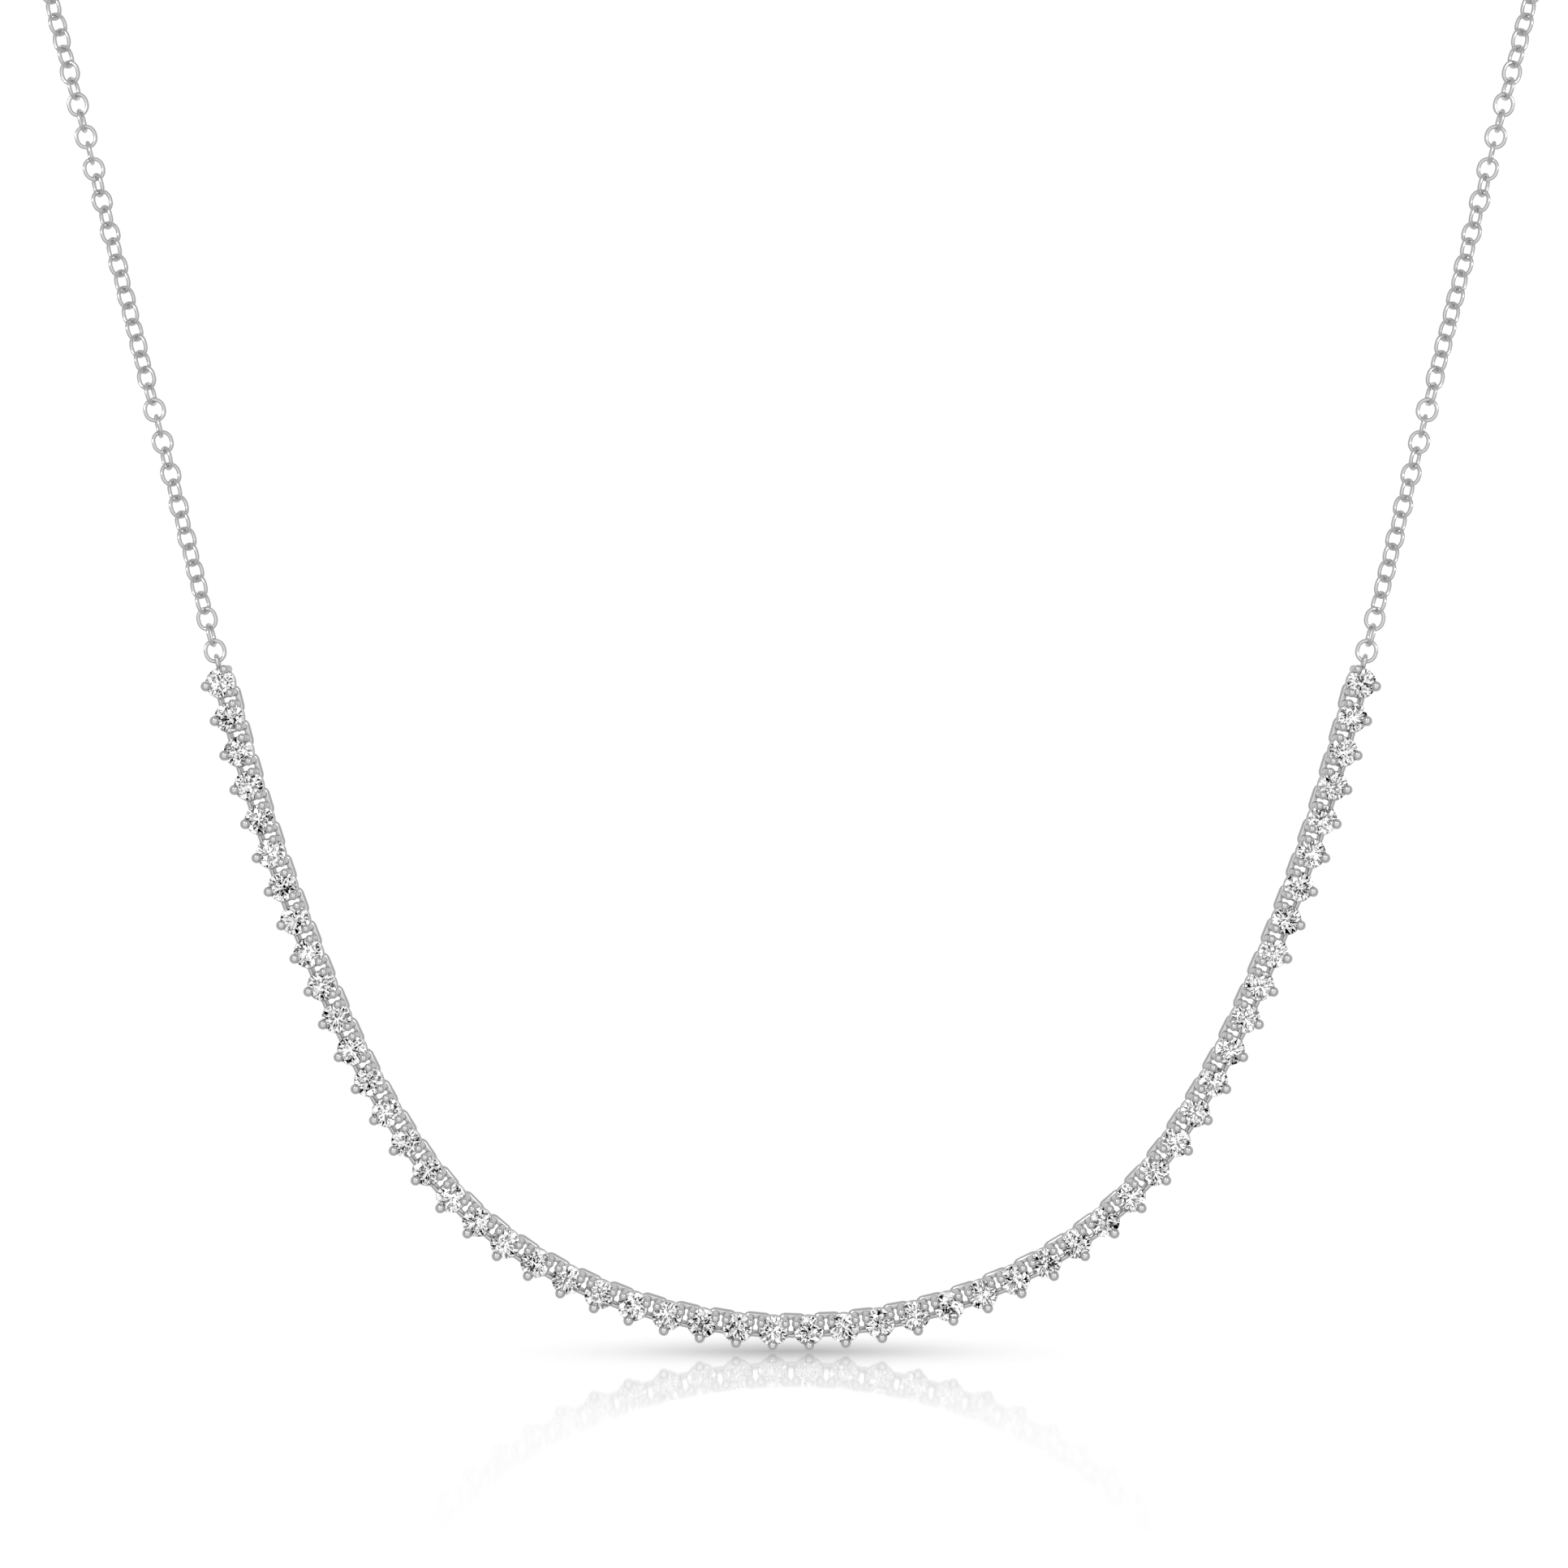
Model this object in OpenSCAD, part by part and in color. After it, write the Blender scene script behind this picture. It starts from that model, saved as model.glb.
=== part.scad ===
/* [Row of stones] */
// Number of stones in the row
stone_count = 54; // [30:2:54]
// Diameter of each stone
stone_d = 2; // [1.8:0.05:2]
// Distance from one stone's centre to the next along the row
stone_pitch = 2.43; // [2.42:0.01:2.5]
// How far the stones' centres lie outside the line of the chain
stone_out = 0.18; // [0.1:0.01:0.2]

/* [Settings] */
// Clear gap between a stone and the metal round it
seat_gap = 0.105; // [0.105:0.005:0.12]
// Diameter of the ball at the outer prong's tip
ball_d = 0.72; // [0.6:0.02:0.72]
// Diameter of the balls at the tips of the two inner prongs
inner_ball_d = 0.62; // [0.5:0.02:0.62]
// Diameter of the outer prong below its ball
prong_d = 0.5; // [0.4:0.02:0.5]
// Diameter of the two inner prongs
inner_prong_d = 0.58; // [0.44:0.02:0.58]
// Width of the flat loop that joins a setting to the next one
loop_w = 1.74; // [1.6:0.02:1.74]
// Wire diameter of that loop
loop_wire = 0.5; // [0.44:0.02:0.5]
// How far the loops' middle lies inward of the stones' centres
loop_in = 0.29; // [0.24:0.01:0.3]

/* [Chain] */
// Outer width of a chain link
link_w = 1.56; // [1.5:0.01:1.62]
// Wire diameter of a chain link
link_wire = 0.28; // [0.24:0.01:0.3]
// Distance from one link's centre to the next
link_pitch = 1.135; // [1.125:0.005:1.15]
// Number of links on each side of the row, the nape stretch included
links_a_side = 141; // [141:1:150]
// Number of links on each side before the stretch round the nape
open_links = 69; // [60:1:69]

/* [Way round the neck] */
// Radius of the bend over the collarbone
shoulder_r = 15; // [10:1:15]
// Straight fall of the chain from the row's end to that bend
side_fall = 49.8; // [46:0.1:50]

/* [Clasp] */
// Outer diameter of the clasp's ring
clasp_d = 5; // [4.6:0.1:5.6]
// Thickness of the clasp's ring
clasp_wire = 0.7; // [0.5:0.05:0.75]

/* [Hidden] */
white_gold = [0.78, 0.78, 0.8];
diamond = [0.95, 0.96, 0.98];

// Clear gaps: the least one, between links, round a peg, below a gallery wire, at the nape tubes' ends
clearance = 0.1;
link_gap = clearance + 0.005;
peg_gap = clearance + 0.02;
loop_gap = clearance + 0.03;
tube_gap = clearance * 1.5;

// Sides of the rounds: a link's wire, other wires and balls, a bend, a ring, a stone's seat
link_sides = 16;
wire_sides = 24;
bend_sides = 32;
ring_sides = 48;
seat_sides = 64;

// Slope of the row: distance from its middle along it, degrees above the level
hang = [
    [0, 0],
    [10, 16],
    [20, 33.5],
    [30, 55.5],
    [40, 65.5],
    [50, 70],
    [64, 75.9]
];
climb = hang[len(hang) - 1][1];

// Slow twist of the chain: link number from the row outward, degrees about its length
twist = [
    [0, 0],
    [2, 18],
    [4, 40],
    [10, 52],
    [13, 66],
    [15, 90],
    [17, 122],
    [23, 134],
    [29, 150],
    [32, 180],
    [36, 205],
    [40, 228],
    [60, 270]
];

// Brilliant cut, as shares of the stone's diameter
table_share = 0.56;
star_share = 0.78;
crown_share = 0.16;
girdle_share = 0.03;
pavilion_share = 0.43;
lower_share = 0.23;
// Each stone is turned by this against the one before, so that no two catch the light alike
stone_turn = 17;

stone_r = stone_d / 2;
girdle_h = girdle_share * stone_d / 2;
crown_h = girdle_h + crown_share * stone_d;
pavilion_h = girdle_h + pavilion_share * stone_d;
table_r = table_share * stone_r;
facets = 8;
facet_turn = 360 / facets;

// A setting's levels, from the stone's girdle
stone_rise = 0.35;
ball_z = 0.26;
gallery_z = -0.72;
gallery_r = stone_r * 0.92;
gallery_wire = 0.3;
loop_corner = 0.34;
loop_z = gallery_z - gallery_wire / 2 - loop_gap - loop_wire / 2;

// The prongs. Columns: direction and reach of the ball, direction and reach of the foot, then the ball's and
// the prong's diameters. A reach is counted outward from the girdle.
prongs = [
    [32, -0.02, 41.5, 0.08, inner_ball_d, inner_prong_d],
    [148, -0.02, 138.5, 0.08, inner_ball_d, inner_prong_d],
    [270, -0.03, 270, -0.1, ball_d, prong_d]
];
foot_z = gallery_z - gallery_wire / 3;

// The struts that carry a loop below its gallery ring: their thickness and their directions
strut_d = 0.4;
strut_turns = [-25, 45];

// The peg that the next setting's loop goes round, and the bar across its foot
peg_d = 0.3;
peg_x = -0.82;
bar_d = 0.26;
bar_l = 1;
bar_z = loop_z - loop_wire / 2 - peg_gap - bar_d / 2;
loop_root = 0.49;
loop_tip = stone_pitch + peg_x + peg_d / 2 + peg_gap + loop_wire / 2;

// The fixed ring at each end of the row, and its stem, which ends in the middle of the ring's wire
eye_r = 0.42;
eye_wire = 0.33;
eye_x = 1.45;
eye_rise = -stone_rise;
eye_stem_d = 0.3;
eye_stem_z = -0.7;
eye_stem_root = gallery_r - gallery_wire / 3;
eye_stem_tip = eye_x - sqrt(pow(eye_r, 2) - pow(eye_stem_z - eye_rise, 2));

link_r = (link_w - link_wire) / 2;
link_l = link_pitch + 2 * link_wire + link_gap;
link_straight = link_l - link_w;

// Distances along half of the loop, from the middle of the front
row_end = (stone_count - 1) / 2 * stone_pitch;
chain_start = row_end + eye_x + eye_r - eye_wire / 2 - link_gap - link_wire + link_l / 2;
shoulder_start = row_end + side_fall;
shoulder_end = shoulder_start + shoulder_r * PI / 2;
chain_end = chain_start + (links_a_side - 1) * link_pitch;

// The clasp: half of its reach is measured to the last link on each side
clasp_r = (clasp_d - clasp_wire) / 2;
clasp_eye_r = 0.45;
clasp_eye_wire = 0.34;
clasp_eye_sink = 0.05;
clasp_eye_x = clasp_eye_sink - clasp_d / 2 - clasp_eye_r;
hold = clearance + link_wire - link_l / 2;
ring_hold = clasp_r - clasp_wire / 2 - hold;
eye_hold = clasp_eye_x - clasp_eye_r + clasp_eye_wire / 2 + hold;
clasp_x = -(ring_hold + eye_hold) / 2;
half_reach = (ring_hold - eye_hold) / 2;
half_loop = chain_end + half_reach;

// The front hangs in one upright plane, worked out in short steps. Past the last one it runs straight on.
step = 0.1;
row_steps = ceil(hang[len(hang) - 1][0] / step) + 1;
function slope(s) = sign(s) * lookup(abs(s), hang);
row_path = [
    for (
        i = 0, p = [0, 0];
        i <= row_steps;
        i = i + 1, p = p + step * [cos(slope((i - 0.5) * step)), sin(slope((i - 0.5) * step))]
    ) p
];
function row_point(s) = let (
    i = min(floor(abs(s) / step), row_steps - 1),
    a = row_path[i],
    b = row_path[i + 1],
    p = a + (b - a) * (abs(s) / step - i)
) [sign(s) * p[0], 0, p[1]];

up_line = [cos(climb), 0, sin(climb)];
in_line = [-sin(climb), 0, cos(climb)];
shoulder_foot = row_point(shoulder_start);
shoulder_top = shoulder_foot + shoulder_r * (up_line + [0, 1, 0]);
nape_r = shoulder_top[0];
nape_start = half_loop - nape_r * PI / 2;
nape_centre = [0, shoulder_top[1] + nape_start - shoulder_end, shoulder_top[2]];
function turned(v, a) = [v[0] * cos(a) - v[1] * sin(a), v[0] * sin(a) + v[1] * cos(a), v[2]];

// Place and three axes at a distance s along the loop: along it, its inner side, its face
function on_front(s) = [
    row_point(s),
    [cos(slope(s)), 0, sin(slope(s))],
    [-sin(slope(s)), 0, cos(slope(s))],
    [0, -1, 0]
];
function on_shoulder(a) = [
    shoulder_foot + shoulder_r * (sin(a) * up_line + [0, 1 - cos(a), 0]),
    cos(a) * up_line + [0, sin(a), 0],
    in_line,
    sin(a) * up_line - [0, cos(a), 0]
];
function on_side(s) = [shoulder_top + [0, s, 0], [0, 1, 0], in_line, up_line];
function on_nape(a) = [
    nape_centre + nape_r * [cos(a), sin(a), 0],
    [-sin(a), cos(a), 0],
    turned(in_line, a),
    turned(up_line, a)
];
function on_loop(s) =
    s < shoulder_start ? on_front(s)
    : s < shoulder_end ? on_shoulder((s - shoulder_start) / shoulder_r * 180 / PI)
    : s < nape_start ? on_side(s - shoulder_end)
    : on_nape((s - nape_start) / nape_r * 180 / PI);
function point_on(f, p) = f[0] + p[0] * f[1] + p[1] * f[2] + p[2] * f[3] - nape_centre;

module at(s) {
    f = on_loop(s);
    o = f[0] - nape_centre;
    multmatrix([
        [f[1][0], f[2][0], f[3][0], o[0]],
        [f[1][1], f[2][1], f[3][1], o[1]],
        [f[1][2], f[2][2], f[3][2], o[2]],
        [0, 0, 0, 1]
    ]) children();
}

// One stone's corners: table, star corners, two girdle edges, lower corners, culet
function spoke(r, a, z) = [r * cos(a), r * sin(a), z];
star_r = star_share * stone_r;
star_z = girdle_h + (crown_h - girdle_h) * (stone_r - star_r * cos(facet_turn / 2)) / (stone_r - table_r);
lower_r = lower_share * stone_r;
lower_z = -girdle_h - (pavilion_h - girdle_h) * (1 - lower_share * cos(facet_turn / 2));
function stone_corners(turn) = [
    for (i = [0:facets - 1]) spoke(table_r, turn + i * facet_turn, crown_h),
    for (i = [0:facets - 1]) spoke(star_r, turn + (i + 0.5) * facet_turn, star_z),
    for (i = [0:2 * facets - 1]) spoke(stone_r, turn + i * facet_turn / 2, girdle_h),
    for (i = [0:2 * facets - 1]) spoke(stone_r, turn + i * facet_turn / 2, -girdle_h),
    for (i = [0:facets - 1]) spoke(lower_r, turn + (i + 0.5) * facet_turn, lower_z),
    [0, 0, -pavilion_h]
];
star_0 = facets;
rim_0 = 2 * facets;
under_0 = 4 * facets;
lower_0 = 6 * facets;
culet = 7 * facets;
stone_points = culet + 1;
function next(i, n) = (i + 1) % n;
stone_faces = [
    [for (i = [facets - 1:-1:0]) i],
    for (i = [0:facets - 1]) let (j = next(i, facets), h = (i + facets - 1) % facets, g = 2 * i) each [
        [i, j, star_0 + i],
        [i, star_0 + i, rim_0 + g, star_0 + h],
        [star_0 + i, rim_0 + g + 1, rim_0 + g],
        [star_0 + i, rim_0 + 2 * j, rim_0 + g + 1],
        [lower_0 + i, under_0 + g, under_0 + g + 1],
        [lower_0 + i, under_0 + g + 1, under_0 + 2 * j],
        [culet, lower_0 + h, under_0 + g, lower_0 + i]
    ],
    for (i = [0:2 * facets - 1]) let (j = next(i, 2 * facets))
        [rim_0 + i, rim_0 + j, under_0 + j, under_0 + i]
];

function row_place(i) = (i - (stone_count - 1) / 2) * stone_pitch;

module diamonds() color(diamond)
    polyhedron(
        points = [
            for (i = [0:stone_count - 1])
                let (f = on_loop(row_place(i)))
                for (p = stone_corners(i * stone_turn)) point_on(f, p + [0, -stone_out, stone_rise])
        ],
        faces = [
            for (i = [0:stone_count - 1])
                for (face = stone_faces) [for (corner = face) corner + i * stone_points]
        ]
    );

module ring(r, wire)
    rotate_extrude($fn = ring_sides) translate([r, 0]) circle(d = wire, $fn = wire_sides);

module bend(turn, r, wire)
    rotate_extrude(angle = turn, $fn = bend_sides) translate([r, 0]) circle(d = wire, $fn = link_sides);

// A wire loop with two round ends, its middle at the origin and its length along X
module wire_loop(r, wire, straight) {
    for (turn = [0, 180]) rotate([0, 0, turn]) {
        translate([straight / 2, 0, 0]) rotate([0, 0, -90]) bend(180, r, wire);
        translate([-straight / 2, r, 0]) rotate([0, 90, 0])
            cylinder(d = wire, h = straight, $fn = link_sides);
    }
}

// A flat wire frame with rounded corners, its middle at the origin, measured between the wire's middles
module wire_frame(length, width, corner, wire) {
    for (turn = [0, 180]) rotate([0, 0, turn]) {
        for (side = [0, 1]) mirror([0, side, 0]) translate([length / 2 - corner, width / 2 - corner, 0])
            bend(90, corner, wire);
        translate([length / 2, corner - width / 2, 0]) rotate([-90, 0, 0])
            cylinder(d = wire, h = width - 2 * corner, $fn = link_sides);
        translate([corner - length / 2, width / 2, 0]) rotate([0, 90, 0])
            cylinder(d = wire, h = length - 2 * corner, $fn = link_sides);
    }
}

// A round bar from one point to another
module bar(a, b, d) {
    v = b - a;
    l = norm(v);
    translate(a) rotate([0, acos(v[2] / l), atan2(v[1], v[0])]) cylinder(d = d, h = l, $fn = wire_sides);
}

// The space that a stone takes, larger all round by the seat's gap. Its cone passes below the lower corners.
pavilion_slope = atan((pavilion_h - girdle_h) / stone_r);
lower_bulge = (pavilion_h - girdle_h) * lower_share * (1 - cos(facet_turn / 2));
seat_drop = seat_gap / cos(pavilion_slope) + lower_bulge;
module seat() rotate_extrude($fn = seat_sides) polygon([
    [0, -pavilion_h - seat_drop],
    [stone_r + seat_gap, -girdle_h - seat_drop + seat_gap * tan(pavilion_slope)],
    [stone_r + seat_gap, girdle_h + seat_gap],
    [table_r + seat_gap, crown_h + seat_gap],
    [0, crown_h + seat_gap]
]);

module prong(tip, foot, tip_d, d) {
    translate(tip) sphere(d = tip_d, $fn = wire_sides);
    bar(foot, tip, d);
}

module basket() {
    for (p = prongs)
        prong(spoke(stone_r + p[1], p[0], ball_z), spoke(stone_r + p[3], p[2], foot_z), p[4], p[5]);
    translate([0, 0, gallery_z]) ring(gallery_r, gallery_wire);
}

module joining_loop() {
    translate([(loop_root + loop_tip) / 2, loop_in, loop_z])
        wire_frame(loop_tip - loop_root, loop_w - loop_wire, loop_corner, loop_wire);
    for (turn = strut_turns) rotate([0, 0, turn])
        bar([gallery_r, 0, loop_z], [gallery_r, 0, gallery_z], strut_d);
}

module peg() {
    bar([peg_x, loop_in, bar_z], [peg_x, loop_in, gallery_z], peg_d);
    bar([peg_x, loop_in - bar_l / 2, bar_z], [peg_x, loop_in + bar_l / 2, bar_z], bar_d);
}

module end_eye() {
    translate([eye_x, stone_out, eye_rise]) rotate([90, 0, 0]) ring(eye_r, eye_wire);
    bar([eye_stem_root, stone_out, eye_stem_z], [eye_stem_tip, stone_out, eye_stem_z], eye_stem_d);
}

// A setting with its loop on the right; the two ends of the row have an eye instead
module setting(first, last) difference() {
    union() {
        basket();
        if (last) end_eye(); else joining_loop();
        if (first) mirror([1, 0, 0]) end_eye(); else peg();
    }
    seat();
}

module settings(from, to) color(white_gold)
    for (i = [from:to]) at(row_place(i)) translate([0, -stone_out, stone_rise])
        setting(i == 0, i == stone_count - 1);

module settings_left() settings(0, stone_count / 2 - 1);

module settings_right() settings(stone_count / 2, stone_count - 1);

module chain() color(white_gold)
    for (i = [0:open_links - 1]) at(chain_start + i * link_pitch)
        rotate([90 * i + lookup(i, twist), 0, 0])
        wire_loop(link_r, link_wire, link_straight);

module chain_right() chain();

module chain_left() mirror([1, 0, 0]) chain();

// The stretch of chain round the nape, as one round tube about as wide as the chain
tube_d = 1.5;
tube_sides = 8;
tube_rings = 24;
tube_start = chain_start + (open_links - 1) * link_pitch + link_l / 2 + tube_gap;
module nape_chain(end) {
    stretch = end - tube_start;
    corners = [
        for (i = [0:tube_rings - 1])
            let (f = on_loop(tube_start + stretch * i / (tube_rings - 1)))
            for (k = [0:tube_sides - 1]) let (a = 360 * k / tube_sides)
                point_on(f, tube_d / 2 * [0, cos(a), sin(a)])
    ];
    last = (tube_rings - 1) * tube_sides;
    color(white_gold) polyhedron(corners, [
        [for (k = [0:tube_sides - 1]) k],
        [for (k = [tube_sides - 1:-1:0]) last + k],
        for (i = [0:tube_rings - 2]) for (k = [0:tube_sides - 1])
            let (a = i * tube_sides, b = next(k, tube_sides))
            [a + k, a + tube_sides + k, a + tube_sides + b, a + b]
    ]);
}

module nape_chain_right() nape_chain(half_loop - clasp_x - clasp_d / 2 - tube_gap);

module nape_chain_left() mirror([1, 0, 0])
    nape_chain(half_loop + clasp_x + clasp_eye_x - clasp_eye_r - clasp_eye_wire / 2 - tube_gap);

// A plain ring with a small eye, upright and level with the chain at the middle of the nape
module clasp() color(white_gold) translate([clasp_x, nape_r, 0]) rotate([90, 0, 0]) {
    ring(clasp_r, clasp_wire);
    translate([clasp_eye_x, 0, 0]) ring(clasp_eye_r, clasp_eye_wire);
}

diamonds();
settings_left();
settings_right();
chain_left();
chain_right();
nape_chain_left();
nape_chain_right();
clasp();
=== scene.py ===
"""Diamond necklace: the finished look of each piece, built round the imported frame.

Lengths are in millimetres until a mesh is made, and the frame is in metres.
"""
import math

import bpy
import numpy as np
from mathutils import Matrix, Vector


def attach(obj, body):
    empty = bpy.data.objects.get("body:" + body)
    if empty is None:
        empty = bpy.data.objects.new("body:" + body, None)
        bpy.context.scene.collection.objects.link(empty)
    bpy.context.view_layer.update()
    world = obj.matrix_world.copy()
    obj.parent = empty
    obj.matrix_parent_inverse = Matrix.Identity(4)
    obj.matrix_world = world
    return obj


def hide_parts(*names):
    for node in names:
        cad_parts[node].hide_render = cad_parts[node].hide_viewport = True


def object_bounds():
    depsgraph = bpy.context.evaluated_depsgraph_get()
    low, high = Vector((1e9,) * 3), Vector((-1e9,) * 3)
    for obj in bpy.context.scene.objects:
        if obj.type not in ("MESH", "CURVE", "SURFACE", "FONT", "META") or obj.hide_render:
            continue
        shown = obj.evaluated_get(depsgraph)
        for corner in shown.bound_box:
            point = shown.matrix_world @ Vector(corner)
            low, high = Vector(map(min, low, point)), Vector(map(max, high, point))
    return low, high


# A millimetre in the frame's metres
MM = 0.001

# The row of stones: how many, how large and how far apart, how far outward and forward of the row's line
# they sit, and how many degrees each is turned from the one before
STONE_COUNT = 54
STONE_D = 2
STONE_PITCH = 2.43
STONE_OUT = 0.18
STONE_RISE = 0.35
STONE_TURN = 17

# Clear gaps: the least one, between links, round a peg, below a gallery wire
CLEARANCE = 0.1
LINK_GAP = CLEARANCE + 0.005
PEG_GAP = CLEARANCE + 0.02
LOOP_GAP = CLEARANCE + 0.03

# A brilliant: shares of its diameter, and how many times its facets repeat round it
TABLE_SHARE = 0.56
STAR_SHARE = 0.78
CROWN_SHARE = 0.16
GIRDLE_SHARE = 0.03
PAVILION_SHARE = 0.43
LOWER_SHARE = 0.23
FACETS = 8

# A setting, measured from the middle of its stone's girdle. The stone sits closer than among the solids.
SEAT_GAP = 0.06

# Its prongs: diameters of the balls and of the wires, the inner two's apart, and height of the balls
BALL_D = 0.72
INNER_BALL_D = 0.62
PRONG_D = 0.5
INNER_PRONG_D = 0.58
BALL_Z = 0.26

# Its gallery ring
GALLERY_R = 0.92
GALLERY_WIRE = 0.3
GALLERY_Z = -0.72

# Its loop round the next setting's peg, and the struts that carry it
LOOP_W = 1.74
LOOP_WIRE = 0.5
LOOP_IN = 0.29
LOOP_CORNER = 0.34
LOOP_ROOT = 0.49
STRUT_TURNS = (-25, 45)
STRUT_D = 0.4

# Its peg, and the cross bar at the peg's end
PEG_D = 0.3
PEG_X = -0.82
BAR_D = 0.26
BAR_L = 1

# The eye for the chain at each end of the row, and the stem that carries it
EYE_R = 0.42
EYE_WIRE = 0.33
EYE_X = 1.45
EYE_RISE = -STONE_RISE
EYE_STEM_D = 0.3
EYE_STEM_Z = -0.7
EYE_STEM_ROOT = GALLERY_R - GALLERY_WIRE / 3
EYE_STEM_TIP = EYE_X - math.sqrt(EYE_R ** 2 - (EYE_STEM_Z - EYE_RISE) ** 2)

# Direction and reach of a prong's ball, direction and reach of its foot, and their diameters.
# A reach is counted outward from the girdle.
PRONGS = (
    (32, -0.02, 41.5, 0.08, INNER_BALL_D, INNER_PRONG_D),
    (148, -0.02, 138.5, 0.08, INNER_BALL_D, INNER_PRONG_D),
    (270, -0.03, 270, -0.1, BALL_D, PRONG_D),
)
FOOT_Z = GALLERY_Z - GALLERY_WIRE / 3

# The chain. Its links all but touch: their play is less than the gap between the solids.
LINK_PLAY = 0.015
LINK_W = 1.56
LINK_WIRE = 0.28
LINK_PITCH = 1.135

# Links on each side, and how many of them, from the row on, are solids of their own
LINKS_A_SIDE = 141
OPEN_LINKS = 69

# The way round the neck: radius of the bend that leads back on each side, and length of chain below it
SHOULDER_R = 15
SIDE_FALL = 49.8

# The clasp: its ring, its eye, and how far the eye sinks into the ring
CLASP_D = 5
CLASP_WIRE = 0.7
CLASP_EYE_R = 0.45
CLASP_EYE_WIRE = 0.34
CLASP_EYE_SINK = 0.05

# Slope of the row: distance from its middle along it, degrees above the level
HANG = ((0, 0), (10, 16), (20, 33.5), (30, 55.5), (40, 65.5), (50, 70), (64, 75.9))

# Slow twist of the chain: link number from the row outward, degrees about its length
TWIST = (
    (0, 0), (2, 18), (4, 40), (10, 52), (13, 66), (15, 90), (17, 122),
    (23, 134), (29, 150), (32, 180), (36, 205), (40, 228), (60, 270),
)

# What follows from them
STONE_R = STONE_D / 2
GIRDLE_H = GIRDLE_SHARE * STONE_R
CROWN_H = GIRDLE_H + CROWN_SHARE * STONE_D
PAVILION_H = GIRDLE_H + PAVILION_SHARE * STONE_D
TABLE_R = TABLE_SHARE * STONE_R
LOOP_Z = GALLERY_Z - GALLERY_WIRE / 2 - LOOP_GAP - LOOP_WIRE / 2
LOOP_TIP = STONE_PITCH + PEG_X + PEG_D / 2 + PEG_GAP + LOOP_WIRE / 2
BAR_Z = LOOP_Z - LOOP_WIRE / 2 - PEG_GAP - BAR_D / 2
LINK_R = (LINK_W - LINK_WIRE) / 2
LINK_L = LINK_PITCH + 2 * LINK_WIRE + LINK_GAP
ROW_END = (STONE_COUNT - 1) / 2 * STONE_PITCH
CHAIN_START = ROW_END + EYE_X + EYE_R - EYE_WIRE / 2 - LINK_GAP - LINK_WIRE + LINK_L / 2
SHOULDER_START = ROW_END + SIDE_FALL
SHOULDER_END = SHOULDER_START + SHOULDER_R * math.pi / 2
CHAIN_END = CHAIN_START + (LINKS_A_SIDE - 1) * LINK_PITCH
CLASP_R = (CLASP_D - CLASP_WIRE) / 2
CLASP_EYE_X = CLASP_EYE_SINK - CLASP_D / 2 - CLASP_EYE_R
LINK_HOLD = CLEARANCE + LINK_WIRE - LINK_L / 2
RING_HOLD = CLASP_R - CLASP_WIRE / 2 - LINK_HOLD
EYE_HOLD = CLASP_EYE_X - CLASP_EYE_R + CLASP_EYE_WIRE / 2 + LINK_HOLD
CLASP_X = -(RING_HOLD + EYE_HOLD) / 2
HALF_LOOP = CHAIN_END + (RING_HOLD - EYE_HOLD) / 2

# Steps in the mesh: round a link and round its wire, the same for what is cast, and up and round a ball
LINK_RINGS = 40
LINK_SIDES = 12
CAST_RINGS = 96
CAST_SIDES = 32
BALL_RINGS = 24
BALL_SIDES = 48

# A casting: the cells of its skin, how much tumbling softens it, what polishing takes off, its triangles
CASTING_CELL = 0.02
TUMBLE_SHARE = 0.5
TUMBLE_PASSES = 6
POLISHED_OFF = 0.003
CASTING_FACES = 6600

# The metal's finish: the width of the swells in it, and the width and depth of the marks on it
SWELL_W = 0.4
MARK_W = 0.06
MARK_DEPTH = 0.01

# The photograph's frame: its size, its scale at the girdles, and where the row's lowest point lies in it
PHOTO_PX = 1932
PX_PER_MM = 18
LOWEST_PX = 1637

# The camera: its place across, its distance from the girdles, its sensor, and how many metres it sees
CAMERA_X = -0.472
CAMERA_D = 350
SENSOR = 36
CAMERA_REACH = 100

# The floor: its gap below the necklace, its reach each way, its white, and its grey amid the painted soft
# shadow
FLOOR_GAP = 0.1
FLOOR_HALF = 20000
FLOOR_WHITE = 0.9
SHADOW_GREY = 0.39

# The middle of the painted shadow and its spread, across and in depth
SHADOW_MIDDLE = (0, -19.7)
SHADOW_SPREAD = (7, 4.8)

# The floor's polish round that middle: distance as a share of the reach in depth, and how much it mirrors
POLISH_REACH = 100
POLISH = (
    (0, 0.2), (0.12, 0.4), (0.2, 0.355), (0.3, 0.26),
    (0.36, 0.187), (0.45, 0.14), (0.85, 0.1), (1, 0.05),
)

# Broad pale cards that the metal mirrors: place, 0 behind the camera and 1 ahead of it, and brightness
CARDS = ((0, 0.85), (0.12, 0.78), (0.27, 0.43), (0.5, 0.47), (0.75, 0.56), (0.85, 0.85), (0.95, 1))

# Many small bright and dark cards that the stones mirror: level of a fine noise, and brightness
SPARKS = ((0.45, 0), (0.455, 0.5), (0.5, 0.85), (0.55, 1.3))
SPARK_SCALE = 300

# The plain white that the eye sees round the set
PLAIN_WHITE = 1.05

# Lamps: degrees about X, Y and Z, strength, and spread in degrees
OVERHEAD = ((0, 0, 0), 1.8, 90)
KEY = ((50, 0, -28), 0.2, 12)
FILL = ((62, 0, 35), 0.12, 18)
STRIPS = {"left": ((80, 0, -47), 0.7, 14), "right": ((80, 0, 47), 0.7, 14)}


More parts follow.
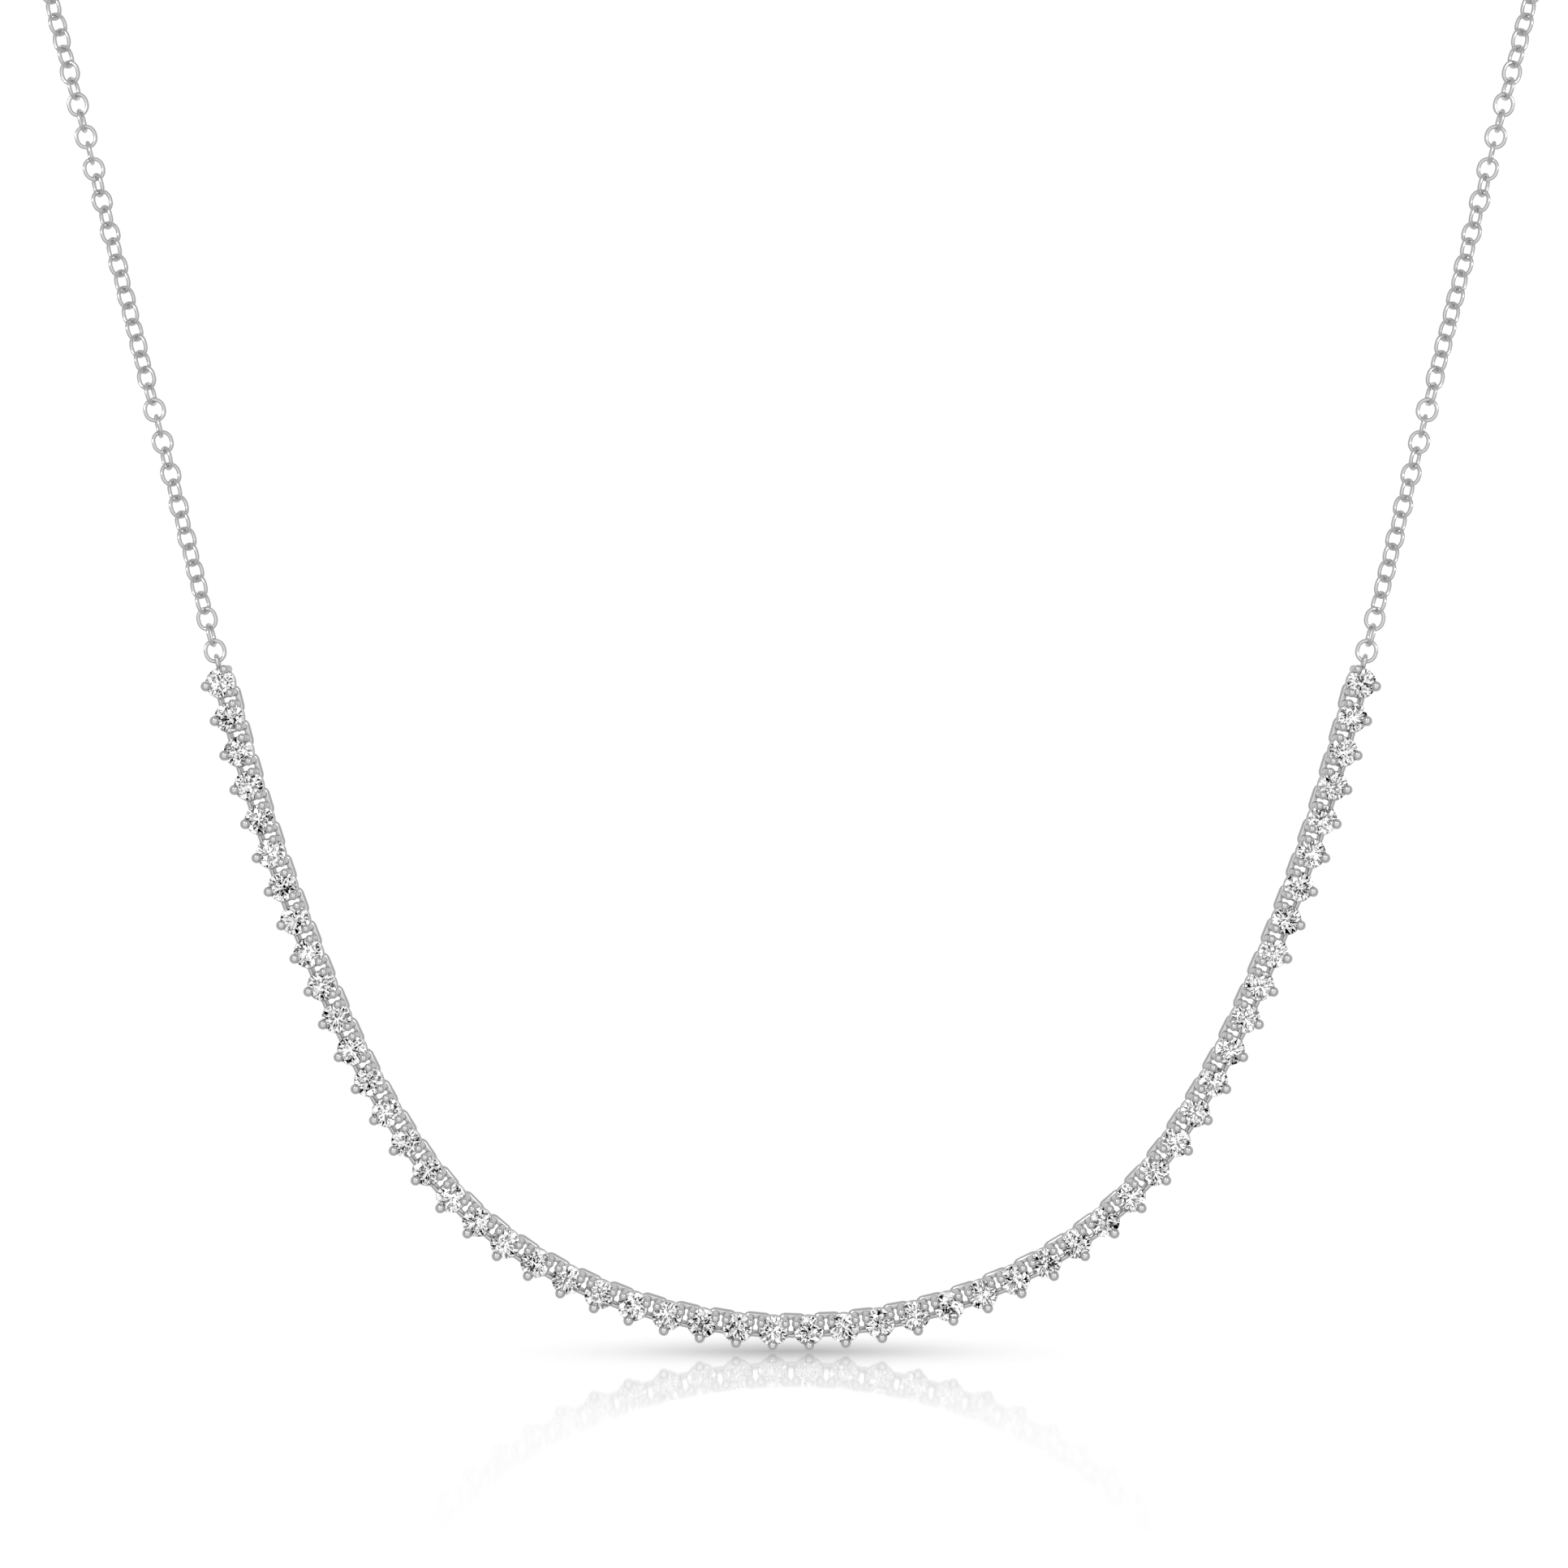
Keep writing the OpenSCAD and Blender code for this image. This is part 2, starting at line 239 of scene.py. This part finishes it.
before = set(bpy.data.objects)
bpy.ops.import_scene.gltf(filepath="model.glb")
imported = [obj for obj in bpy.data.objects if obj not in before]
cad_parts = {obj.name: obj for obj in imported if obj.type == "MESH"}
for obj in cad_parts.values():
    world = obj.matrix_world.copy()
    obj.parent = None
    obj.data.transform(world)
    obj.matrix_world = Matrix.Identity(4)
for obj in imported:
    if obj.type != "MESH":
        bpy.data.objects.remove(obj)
cad_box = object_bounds()


def vec(*numbers):
    return np.array(numbers, float)


def lookup(x, table):
    places, values = zip(*table)
    return float(np.interp(x, places, values))


def row_line(step=0.1):
    """The row's line in its upright plane: distances along it in short steps, and its X and Z there."""
    count = int(HANG[-1][0] / step) + 1
    slopes = np.radians([lookup((i + 0.5) * step, HANG) for i in range(count)])
    x = np.concatenate([[0], np.cumsum(np.cos(slopes)) * step])
    z = np.concatenate([[0], np.cumsum(np.sin(slopes)) * step])
    return np.arange(count + 1) * step, x, z


ROW_S, ROW_X, ROW_Z = row_line()


def row_point(s):
    """A point of the row's line, which goes on straight past the last step."""
    a = min(abs(s), ROW_S[-1])
    end = math.radians(HANG[-1][1])
    past = abs(s) - a
    x = np.interp(a, ROW_S, ROW_X) + past * math.cos(end)
    z = np.interp(a, ROW_S, ROW_Z) + past * math.sin(end)
    return vec(math.copysign(x, s), 0, z)


CLIMB = math.radians(HANG[-1][1])
UP_LINE = vec(math.cos(CLIMB), 0, math.sin(CLIMB))
IN_LINE = vec(-math.sin(CLIMB), 0, math.cos(CLIMB))
FORE = vec(0, -1, 0)
SHOULDER_FOOT = row_point(SHOULDER_START)
SHOULDER_TOP = SHOULDER_FOOT + SHOULDER_R * (UP_LINE - FORE)
NAPE_R = SHOULDER_TOP[0]
NAPE_START = HALF_LOOP - NAPE_R * math.pi / 2
NAPE_CENTRE = vec(0, SHOULDER_TOP[1] + NAPE_START - SHOULDER_END, SHOULDER_TOP[2])


def turned(v, a):
    return vec(v[0] * math.cos(a) - v[1] * math.sin(a), v[0] * math.sin(a) + v[1] * math.cos(a), v[2])


def on_loop(s):
    """Place, and three directions, at a distance s along the loop: along it, its inner side, its face."""
    if s < SHOULDER_START:
        a = math.copysign(math.radians(lookup(abs(s), HANG)), s)
        axes = vec(math.cos(a), 0, math.sin(a)), vec(-math.sin(a), 0, math.cos(a)), FORE
        return row_point(s), *axes
    if s < SHOULDER_END:
        a = (s - SHOULDER_START) / SHOULDER_R
        place = SHOULDER_FOOT + SHOULDER_R * (math.sin(a) * UP_LINE - (1 - math.cos(a)) * FORE)
        along = math.cos(a) * UP_LINE - math.sin(a) * FORE
        return place, along, IN_LINE, math.sin(a) * UP_LINE + math.cos(a) * FORE
    if s < NAPE_START:
        return SHOULDER_TOP - (s - SHOULDER_END) * FORE, -FORE, IN_LINE, UP_LINE
    a = (s - NAPE_START) / NAPE_R
    place = NAPE_CENTRE + NAPE_R * vec(math.cos(a), math.sin(a), 0)
    return place, vec(-math.sin(a), math.cos(a), 0), turned(IN_LINE, a), turned(UP_LINE, a)


def matrix(place, *axes):
    """A 4 by 4 matrix that puts X, Y and Z along these axes at that place."""
    m = np.eye(4)
    for i, axis in enumerate(axes):
        m[:3, i] = axis
    m[:3, 3] = place
    return m


def at(s):
    place, along, inner, face = on_loop(s)
    return matrix(place - NAPE_CENTRE, along, inner, face)


def moved(x=0, y=0, z=0):
    return matrix((x, y, z), (1, 0, 0), (0, 1, 0), (0, 0, 1))


def about(axis, degrees):
    """A turn about X or Z."""
    i, j = {"X": (1, 2), "Z": (0, 1)}[axis]
    a = math.radians(degrees)
    m = np.eye(4)
    m[i, i] = m[j, j] = math.cos(a)
    m[i, j] = -math.sin(a)
    m[j, i] = math.sin(a)
    return m


MIRROR = np.diag([-1.0, 1, 1, 1])


# A shape is its corners, an array, and its faces, tuples of corner numbers
def placed(shape, m):
    corners, faces = shape
    new = corners @ m[:3, :3].T + m[:3, 3]
    if np.linalg.det(m[:3, :3]) < 0:
        faces = [face[::-1] for face in faces]
    return new, faces


def joined(shapes):
    corners, faces, start = [], [], 0
    for points, sides in shapes:
        corners.append(points)
        faces += [tuple(i + start for i in side) for side in sides]
        start += len(points)
    return np.concatenate(corners), faces


def full_turn(steps):
    return np.linspace(0, 2 * math.pi, steps, endpoint=False)


def tube_faces(rings, sides, closed):
    """The faces of a tube of rings of corners. Its ends are joined if it is closed, and capped if not."""
    faces = []
    for ring_number in range(rings if closed else rings - 1):
        here, there = ring_number * sides, (ring_number + 1) % rings * sides
        for k in range(sides):
            after = (k + 1) % sides
            faces.append((here + k, there + k, there + after, here + after))
    if not closed:
        last = (rings - 1) * sides
        faces += [tuple(range(sides)), tuple(range(last + sides - 1, last - 1, -1))]
    return faces


def wire_loop(length, width, corner, wire, rings=LINK_RINGS, sides=LINK_SIDES):
    """A closed wire with rounded corners, flat in XY.

    Its length along X and its width are taken between the wire's middles.
    """
    bends = []
    for quarter, (x, y) in enumerate(((1, 1), (-1, 1), (-1, -1), (1, -1))):
        centre = vec(x * (length / 2 - corner), y * (width / 2 - corner), 0)
        for a in np.linspace(quarter, quarter + 1, rings // 4 + 1) * math.pi / 2:
            out = vec(math.cos(a), math.sin(a), 0)
            bends.append((centre + corner * out, out))
    following = bends[1:] + bends[:1]
    bends = [here for here, after in zip(bends, following) if not np.allclose(here[0], after[0])]
    corners = [
        middle + wire / 2 * (math.cos(t) * out + math.sin(t) * vec(0, 0, 1))
        for middle, out in bends
        for t in full_turn(sides)
    ]
    return np.array(corners), tube_faces(len(bends), sides, True)


def ring(r, wire):
    return wire_loop(2 * r, 2 * r, r, wire, CAST_RINGS, CAST_SIDES)


def bar(a, b, d):
    """A round bar between two points."""
    a, b = vec(*a), vec(*b)
    along = (b - a) / np.linalg.norm(b - a)
    across = vec(1, 0, 0) if np.allclose(abs(along[1]), 1) else vec(0, 1, 0)
    side = np.cross(along, across)
    side /= np.linalg.norm(side)
    up = np.cross(along, side)
    corners = [
        end + d / 2 * (math.cos(t) * side + math.sin(t) * up)
        for end in (a, b)
        for t in full_turn(CAST_SIDES)
    ]
    return np.array(corners), tube_faces(2, CAST_SIDES, False)


def lathe(profile, sides=CAST_RINGS):
    """A solid of revolution about Z, from radius and height pairs that start and end on the axis."""
    inner = profile[1:-1]
    corners = [vec(0, 0, profile[0][1])]
    corners += [vec(r * math.cos(t), r * math.sin(t), z) for r, z in inner for t in full_turn(sides)]
    corners.append(vec(0, 0, profile[-1][1]))
    top = len(corners) - 1
    faces = [(0, 1 + (k + 1) % sides, 1 + k) for k in range(sides)]
    for i in range(len(inner) - 1):
        low, high = 1 + i * sides, 1 + (i + 1) * sides
        for k in range(sides):
            after = (k + 1) % sides
            faces.append((low + k, low + after, high + after, high + k))
    faces += [(top - sides + k, top - sides + (k + 1) % sides, top) for k in range(sides)]
    return np.array(corners), faces


def ball(centre, d):
    rises = [math.pi * i / BALL_RINGS - math.pi / 2 for i in range(1, BALL_RINGS)]
    half_circle = [(0, -1), *[(math.cos(a), math.sin(a)) for a in rises], (0, 1)]
    corners, faces = lathe(half_circle, BALL_SIDES)
    return corners * d / 2 + vec(*centre), faces


def object_of(name, shape, scale=1):
    corners, faces = shape
    mesh = bpy.data.meshes.new(name)
    mesh.from_pydata((corners * scale).tolist(), [], faces)
    mesh.validate()
    made = bpy.data.objects.new(name, mesh)
    bpy.context.collection.objects.link(made)
    return made


def modify(thing, kind, **properties):
    """Adds a modifier to an object and sets it."""
    made = thing.modifiers.new(kind.lower(), kind)
    for name, value in properties.items():
        setattr(made, name, value)


def fused(name, parts, hollow=None):
    """One skin over parts that run into each other, as cast and soldered metal has.

    The hollow is cut from it. Then it is tumbled, which softly fills its corners, polished, and thinned
    out to its number of triangles.
    """
    work = object_of(name, joined(parts))
    tools = []
    modify(work, "REMESH", mode="VOXEL", voxel_size=CASTING_CELL)
    if hollow:
        tools.append(object_of(name + "_seat", hollow))
        modify(work, "BOOLEAN", operation="DIFFERENCE", solver="MANIFOLD", object=tools[0])
        modify(work, "REMESH", mode="VOXEL", voxel_size=CASTING_CELL)
    modify(work, "SMOOTH", factor=TUMBLE_SHARE, iterations=TUMBLE_PASSES)
    modify(work, "DISPLACE", mid_level=0, strength=-POLISHED_OFF)
    triangles = 2 * len(evaluated(work)[1])
    modify(work, "DECIMATE", ratio=min(1, CASTING_FACES / triangles))
    shape = evaluated(work)
    for used in [work, *tools]:
        bpy.data.objects.remove(used)
    return shape


def evaluated(thing):
    """The shape of an object after its modifiers."""
    graph = bpy.context.evaluated_depsgraph_get()
    graph.update()
    seen = thing.evaluated_get(graph)
    mesh = seen.to_mesh()
    corners = np.empty(len(mesh.vertices) * 3)
    mesh.vertices.foreach_get("co", corners)
    faces = [tuple(p.vertices) for p in mesh.polygons]
    seen.to_mesh_clear()
    return corners.reshape(-1, 3), faces


def piece(name, shape, nodes, materials, smooth=True):
    """A finished piece of the necklace: it stands for these CAD nodes and takes that slot's finish."""
    made = object_of(name, shape, MM)
    for finish in materials:
        made.data.materials.append(finish)
    if smooth:
        made.data.shade_smooth()
    else:
        made.data.shade_flat()
    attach(made, "root")
    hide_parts(*nodes)
    return made


# Stones
def spoke(r, degrees, z):
    return vec(r * math.cos(math.radians(degrees)), r * math.sin(math.radians(degrees)), z)


def brilliant():
    """A round brilliant, and how many of its facets are polished; those of its girdle come last.

    Its corners are the table's, the stars', the girdle's two edges', the lower ones and the culet.
    """
    turn = 360 / FACETS
    half = math.cos(math.radians(turn / 2))
    star_r = STAR_SHARE * STONE_R
    star_z = GIRDLE_H + (CROWN_H - GIRDLE_H) * (STONE_R - star_r * half) / (STONE_R - TABLE_R)
    lower_r = LOWER_SHARE * STONE_R
    lower_z = -GIRDLE_H - (PAVILION_H - GIRDLE_H) * (1 - LOWER_SHARE * half)
    eight, sixteen = range(FACETS), range(2 * FACETS)
    corners = [spoke(TABLE_R, i * turn, CROWN_H) for i in eight]
    corners += [spoke(star_r, (i + 0.5) * turn, star_z) for i in eight]
    corners += [spoke(STONE_R, i * turn / 2, GIRDLE_H) for i in sixteen]
    corners += [spoke(STONE_R, i * turn / 2, -GIRDLE_H) for i in sixteen]
    corners += [spoke(lower_r, (i + 0.5) * turn, lower_z) for i in eight]
    corners.append(vec(0, 0, -PAVILION_H))
    star, rim, under, lower, culet = FACETS, 2 * FACETS, 4 * FACETS, 6 * FACETS, 7 * FACETS
    facets = [tuple(eight)]
    for i in eight:
        j, h, g = (i + 1) % FACETS, (i - 1) % FACETS, 2 * i
        facets += [
            (star + i, j, i),
            (star + h, rim + g, star + i, i),
            (rim + g, rim + g + 1, star + i),
            (rim + g + 1, rim + 2 * j, star + i),
            (under + g + 1, under + g, lower + i),
            (under + 2 * j, under + g + 1, lower + i),
            (lower + i, under + g, lower + h, culet),
        ]
    girdle = []
    for i in sixteen:
        after = (i + 1) % (2 * FACETS)
        girdle.append((under + i, under + after, rim + after, rim + i))
    return (np.array(corners), facets + girdle), len(facets)


def row_place(i):
    return (i - (STONE_COUNT - 1) / 2) * STONE_PITCH


def stone_seat(i):
    return at(row_place(i)) @ moved(0, -STONE_OUT, STONE_RISE)


def stones(materials):
    shape, polished = brilliant()
    each = len(shape[1])
    row = [placed(shape, stone_seat(i) @ about("Z", i * STONE_TURN)) for i in range(STONE_COUNT)]
    made = piece("brilliants", joined(row), ["diamonds"], materials, smooth=False)
    slots = [0 if n % each < polished else 1 for n in range(each * STONE_COUNT)]
    made.data.polygons.foreach_set("material_index", slots)
    return made


# Settings
def seat():
    """The space that a stone takes, larger all round by the seat's gap.

    Its cone passes just below the stone's lower corners.
    """
    slope = math.atan((PAVILION_H - GIRDLE_H) / STONE_R)
    bulge = (PAVILION_H - GIRDLE_H) * LOWER_SHARE * (1 - math.cos(math.pi / FACETS))
    drop = SEAT_GAP / math.cos(slope) + bulge
    return lathe([
        (0, -PAVILION_H - drop),
        (STONE_R + SEAT_GAP, -GIRDLE_H - drop + SEAT_GAP * math.tan(slope)),
        (STONE_R + SEAT_GAP, GIRDLE_H + SEAT_GAP),
        (TABLE_R + SEAT_GAP, CROWN_H + SEAT_GAP),
        (0, CROWN_H + SEAT_GAP),
    ])


def prong(tip_turn, tip_reach, foot_turn, foot_reach, tip_d, d):
    tip = spoke(STONE_R + tip_reach, tip_turn, BALL_Z)
    foot = spoke(STONE_R + foot_reach, foot_turn, FOOT_Z)
    return [ball(tip, tip_d), bar(foot, tip, d)]


def basket():
    parts = [part for numbers in PRONGS for part in prong(*numbers)]
    return parts + [placed(ring(GALLERY_R, GALLERY_WIRE), moved(z=GALLERY_Z))]


def joining_loop():
    length, width = LOOP_TIP - LOOP_ROOT, LOOP_W - LOOP_WIRE
    wire = wire_loop(length, width, LOOP_CORNER, LOOP_WIRE, CAST_RINGS, CAST_SIDES)
    loop = placed(wire, moved((LOOP_ROOT + LOOP_TIP) / 2, LOOP_IN, LOOP_Z))
    strut = bar((GALLERY_R, 0, LOOP_Z), (GALLERY_R, 0, GALLERY_Z), STRUT_D)
    return [loop] + [placed(strut, about("Z", turn)) for turn in STRUT_TURNS]


def peg():
    return [
        bar((PEG_X, LOOP_IN, BAR_Z), (PEG_X, LOOP_IN, GALLERY_Z), PEG_D),
        bar((PEG_X, LOOP_IN - BAR_L / 2, BAR_Z), (PEG_X, LOOP_IN + BAR_L / 2, BAR_Z), BAR_D),
    ]


def end_eye():
    eye = placed(ring(EYE_R, EYE_WIRE), moved(EYE_X, STONE_OUT, EYE_RISE) @ about("X", 90))
    stem = bar((EYE_STEM_ROOT, STONE_OUT, EYE_STEM_Z), (EYE_STEM_TIP, STONE_OUT, EYE_STEM_Z), EYE_STEM_D)
    return [eye, stem]


def settings(materials):
    """Every setting is a casting; the two at the ends of the row have an eye for the chain."""
    hollow = seat()
    left_eye = [placed(part, MIRROR) for part in end_eye()]
    first = fused("first_setting", basket() + joining_loop() + left_eye, hollow)
    middle = fused("middle_setting", basket() + joining_loop() + peg(), hollow)
    last = fused("last_setting", basket() + peg() + end_eye(), hollow)
    castings = [first] + [middle] * (STONE_COUNT - 2) + [last]
    half = STONE_COUNT // 2
    made = []
    for side, span in (("left", range(half)), ("right", range(half, STONE_COUNT))):
        row = [placed(castings[i], stone_seat(i)) for i in span]
        made.append(piece("baskets_" + side, joined(row), ["settings_" + side], materials))
    return made


# Chain
def chain(materials):
    link = wire_loop(LINK_PITCH + LINK_WIRE + LINK_PLAY, LINK_W - LINK_WIRE, LINK_R, LINK_WIRE)
    spans = (
        ("links_", "chain_", 0, OPEN_LINKS),
        ("nape_links_", "nape_chain_", OPEN_LINKS, LINKS_A_SIDE),
    )
    made = {"left": [], "right": []}
    for name, node, start, end in spans:
        right = joined([
            placed(link, at(CHAIN_START + i * LINK_PITCH) @ about("X", 90 * i + lookup(i, TWIST)))
            for i in range(start, end)
        ])
        for side, shape in (("right", right), ("left", placed(right, MIRROR))):
            made[side].append(piece(name + side, shape, [node + side], materials))
    return made


# Clasp
def clasp(materials):
    parts = [ring(CLASP_R, CLASP_WIRE), placed(ring(CLASP_EYE_R, CLASP_EYE_WIRE), moved(CLASP_EYE_X))]
    shape = placed(fused("clasp_casting", parts), moved(CLASP_X, NAPE_R) @ about("X", 90))
    return piece("clasp_ring", shape, ["clasp"], materials)


# Materials
def linear(text):
    """An sRGB hex colour as linear light."""
    parts = [int(text[i:i + 2], 16) / 255 for i in (1, 3, 5)]
    return (*[p / 12.92 if p <= 0.04045 else ((p + 0.055) / 1.055) ** 2.4 for p in parts], 1)


def add(tree, kind, inputs=None, stops=(), **properties):
    """Adds a node, sets its properties and its ramp's stops, and fills or links its inputs.

    An input goes by its name or its number. A new ramp holds two stops already.
    """
    made = tree.nodes.new(kind)
    for name, value in properties.items():
        setattr(made, name, value)
    for i, (place, level) in enumerate(stops):
        band = made.color_ramp.elements
        stop = band[i] if i < 2 else band.new(place)
        stop.position = place
        stop.color = (level, level, level, 1)
    for key, value in (inputs or {}).items():
        if isinstance(value, bpy.types.NodeSocket):
            tree.links.new(value, made.inputs[key])
        else:
            made.inputs[key].default_value = value
    return made


def material(name):
    made = bpy.data.materials.new(name)
    made.use_nodes = True
    made.node_tree.nodes.clear()
    return made, made.node_tree


def rhodium_plated_white_gold():
    """14 carat white gold, cast or drawn, rhodium plated and polished: a bright, neutral grey mirror."""
    made, tree = material("rhodium_plated_white_gold")
    place = add(tree, "ShaderNodeTexCoord").outputs["Object"]
    # Polishing leaves slow swells, which make the shine a little uneven
    swell = add(tree, "ShaderNodeTexNoise", {"Vector": place, "Scale": 1 / (SWELL_W * MM), "Detail": 2.0})
    shine = add(tree, "ShaderNodeMapRange", {
        "Value": swell.outputs["Fac"],
        "To Min": 0.14,
        "To Max": 0.2,
    })
    # Tumbling marks are finer than shows, so they are drawn wider
    marks = add(tree, "ShaderNodeTexNoise", {"Vector": place, "Scale": 1 / (MARK_W * MM), "Detail": 1.0})
    skin = add(tree, "ShaderNodeBump", {
        "Height": marks.outputs["Fac"],
        "Strength": 0.02,
        "Distance": MARK_DEPTH * MM,
    })
    metal = add(tree, "ShaderNodeBsdfPrincipled", {
        "Base Color": linear("#E8E8E8"),
        "Metallic": 1.0,
        "Roughness": shine.outputs["Result"],
        "Specular Tint": linear("#C0C0C0"),
        "Normal": skin.outputs["Normal"],
    })
    add(tree, "ShaderNodeOutputMaterial", {"Surface": metal.outputs["BSDF"]})
    return made


def polished_diamond():
    """Diamond, cut and polished: clear, with flat facets that split the light sharply."""
    made, tree = material("polished_diamond")
    stone = add(tree, "ShaderNodeBsdfPrincipled", {
        "Base Color": linear("#FEFEFE"),
        "Roughness": 0.0,
        "IOR": 2.417,
        "Transmission Weight": 1.0,
    })
    add(tree, "ShaderNodeOutputMaterial", {"Surface": stone.outputs["BSDF"]})
    return made


def bruted_diamond():
    """The diamond's girdle, which is ground round and left unpolished: frosted."""
    made, tree = material("bruted_diamond")
    stone = add(tree, "ShaderNodeBsdfPrincipled", {
        "Base Color": linear("#F6F6F6"),
        "Roughness": 0.4,
        "IOR": 2.417,
        "Transmission Weight": 1.0,
    })
    add(tree, "ShaderNodeOutputMaterial", {"Surface": stone.outputs["BSDF"]})
    return made


def satin_acrylic():
    """White acrylic sheet, polished below the row, which it mirrors faintly, and satin elsewhere, with a
    painted shadow below the lowest stones.
    """
    made, tree = material("satin_acrylic")
    place = add(tree, "ShaderNodeTexCoord").outputs["Object"]
    # Painted shadow: the shadow is softer than any one lamp's, so it is painted on as a soft grey oval
    # below the lowest stones
    oval = add(tree, "ShaderNodeMapping", {
        "Vector": place,
        "Location": [-middle / spread for middle, spread in zip(SHADOW_MIDDLE, SHADOW_SPREAD)] + [0],
        "Scale": [1 / (spread * MM) for spread in SHADOW_SPREAD] + [0],
    })
    from_middle = oval.outputs["Vector"]
    away = add(tree, "ShaderNodeVectorMath", {0: from_middle, 1: from_middle}, operation="DOT_PRODUCT")
    # A bell curve of the distance, which the dot product gives squared
    bell = add(tree, "ShaderNodeMath", {0: math.exp(-0.5), 1: away.outputs["Value"]}, operation="POWER")
    shade = add(tree, "ShaderNodeMapRange", {
        "Value": bell.outputs[0],
        "To Min": FLOOR_WHITE,
        "To Max": SHADOW_GREY,
    })
    sheet = add(tree, "ShaderNodeBsdfDiffuse", {"Color": shade.outputs["Result"]})
    gloss = add(tree, "ShaderNodeBsdfGlossy", {"Color": linear("#FFFFFF"), "Roughness": 0.05})
    root = add(tree, "ShaderNodeMath", {0: away.outputs["Value"]}, operation="SQRT")
    share = SHADOW_SPREAD[1] / POLISH_REACH
    far = add(tree, "ShaderNodeMath", {0: root.outputs[0], 1: share}, operation="MULTIPLY")
    polish = add(tree, "ShaderNodeValToRGB", {"Fac": far.outputs[0]}, stops=POLISH)
    both = add(tree, "ShaderNodeMixShader", {
        0: polish.outputs["Color"],
        1: sheet.outputs["BSDF"],
        2: gloss.outputs["BSDF"],
    })
    add(tree, "ShaderNodeOutputMaterial", {"Surface": both.outputs["Shader"]})
    return made


# Studio
def floor():
    z = cad_box[0].z / MM - FLOOR_GAP
    ends = ((-1, -1), (1, -1), (1, 1), (-1, 1))
    corners = np.array([(x * FLOOR_HALF, y * FLOOR_HALF, z) for x, y in ends])
    made = object_of("floor", (corners, [(0, 1, 2, 3)]), MM)
    made.data.materials.append(satin_acrylic())
    # Neither the metal nor the stones mirror it
    made.visible_glossy = False
    made.visible_transmission = False
    return made


def camera():
    face_y = -NAPE_CENTRE[1] - STONE_RISE
    lens = bpy.data.cameras.new("camera")
    lens.sensor_width = SENSOR
    lens.lens = SENSOR * CAMERA_D / (PHOTO_PX / PX_PER_MM)
    lens.clip_end = CAMERA_REACH
    made = bpy.data.objects.new("camera", lens)
    height = -NAPE_CENTRE[2] + (LOWEST_PX - PHOTO_PX / 2) / PX_PER_MM
    made.location = [v * MM for v in (CAMERA_X, face_y - CAMERA_D, height)]
    made.rotation_euler = (math.pi / 2, 0, 0)
    bpy.context.collection.objects.link(made)
    bpy.context.scene.camera = made


def sun(name, degrees, strength, spread, lit):
    """A soft lamp that lights only these things."""
    lamp = bpy.data.lights.new(name, "SUN")
    lamp.energy = strength
    lamp.angle = math.radians(spread)
    made = bpy.data.objects.new(name, lamp)
    made.rotation_euler = [math.radians(d) for d in degrees]
    bpy.context.collection.objects.link(made)
    made.light_linking.receiver_collection = bpy.data.collections.new(name)
    for thing in lit:
        made.light_linking.receiver_collection.objects.link(thing)
    return made


def surroundings():
    """What is round the set: white to the eye, broad cards in the metal, small ones in the stones."""
    world = bpy.data.worlds.new("studio")
    world.use_nodes = True
    bpy.context.scene.world = world
    tree = world.node_tree
    tree.nodes.clear()
    direction = add(tree, "ShaderNodeTexCoord").outputs["Generated"]
    parts = add(tree, "ShaderNodeSeparateXYZ", {"Vector": direction})
    ahead = add(tree, "ShaderNodeMapRange", {"Value": parts.outputs["Y"], "From Min": -1.0})
    grain = add(tree, "ShaderNodeTexNoise", {"Vector": direction, "Scale": SPARK_SCALE, "Detail": 0.0})
    cards = add(tree, "ShaderNodeValToRGB", {"Fac": ahead.outputs["Result"]}, stops=CARDS)
    sparks = add(tree, "ShaderNodeValToRGB", {"Fac": grain.outputs["Fac"]}, stops=SPARKS)
    path = add(tree, "ShaderNodeLightPath")
    broad = add(tree, "ShaderNodeBackground", {"Color": cards.outputs["Color"]})
    small = add(tree, "ShaderNodeBackground", {"Color": sparks.outputs["Color"]})
    plain = add(tree, "ShaderNodeBackground", {"Color": linear("#FFFFFF"), "Strength": PLAIN_WHITE})
    mirrored = add(tree, "ShaderNodeMixShader", {
        0: path.outputs["Is Singular Ray"],
        1: broad.outputs["Background"],
        2: small.outputs["Background"],
    })
    seen = add(tree, "ShaderNodeMixShader", {
        0: path.outputs["Is Camera Ray"],
        1: mirrored.outputs["Shader"],
        2: plain.outputs["Background"],
    })
    add(tree, "ShaderNodeOutputWorld", {"Surface": seen.outputs["Shader"]})


def studio(ground, row, chains):
    surroundings()
    overhead = sun("overhead", *OVERHEAD, [ground])
    # Nothing but the floor itself may shade the floor, whose shadow is painted on
    overhead.light_linking.blocker_collection = overhead.light_linking.receiver_collection
    sun("key", *KEY, row)
    sun("fill", *FILL, row)
    for side, strip in STRIPS.items():
        sun("strip_" + side, *strip, chains[side])
    bpy.context.scene.view_settings.view_transform = "Standard"


camera()
gold = rhodium_plated_white_gold()
brilliants = stones([polished_diamond(), bruted_diamond()])
baskets = settings([gold])
links = chain([gold])
closing = clasp([gold])
studio(floor(), [brilliants, *baskets, closing], links)
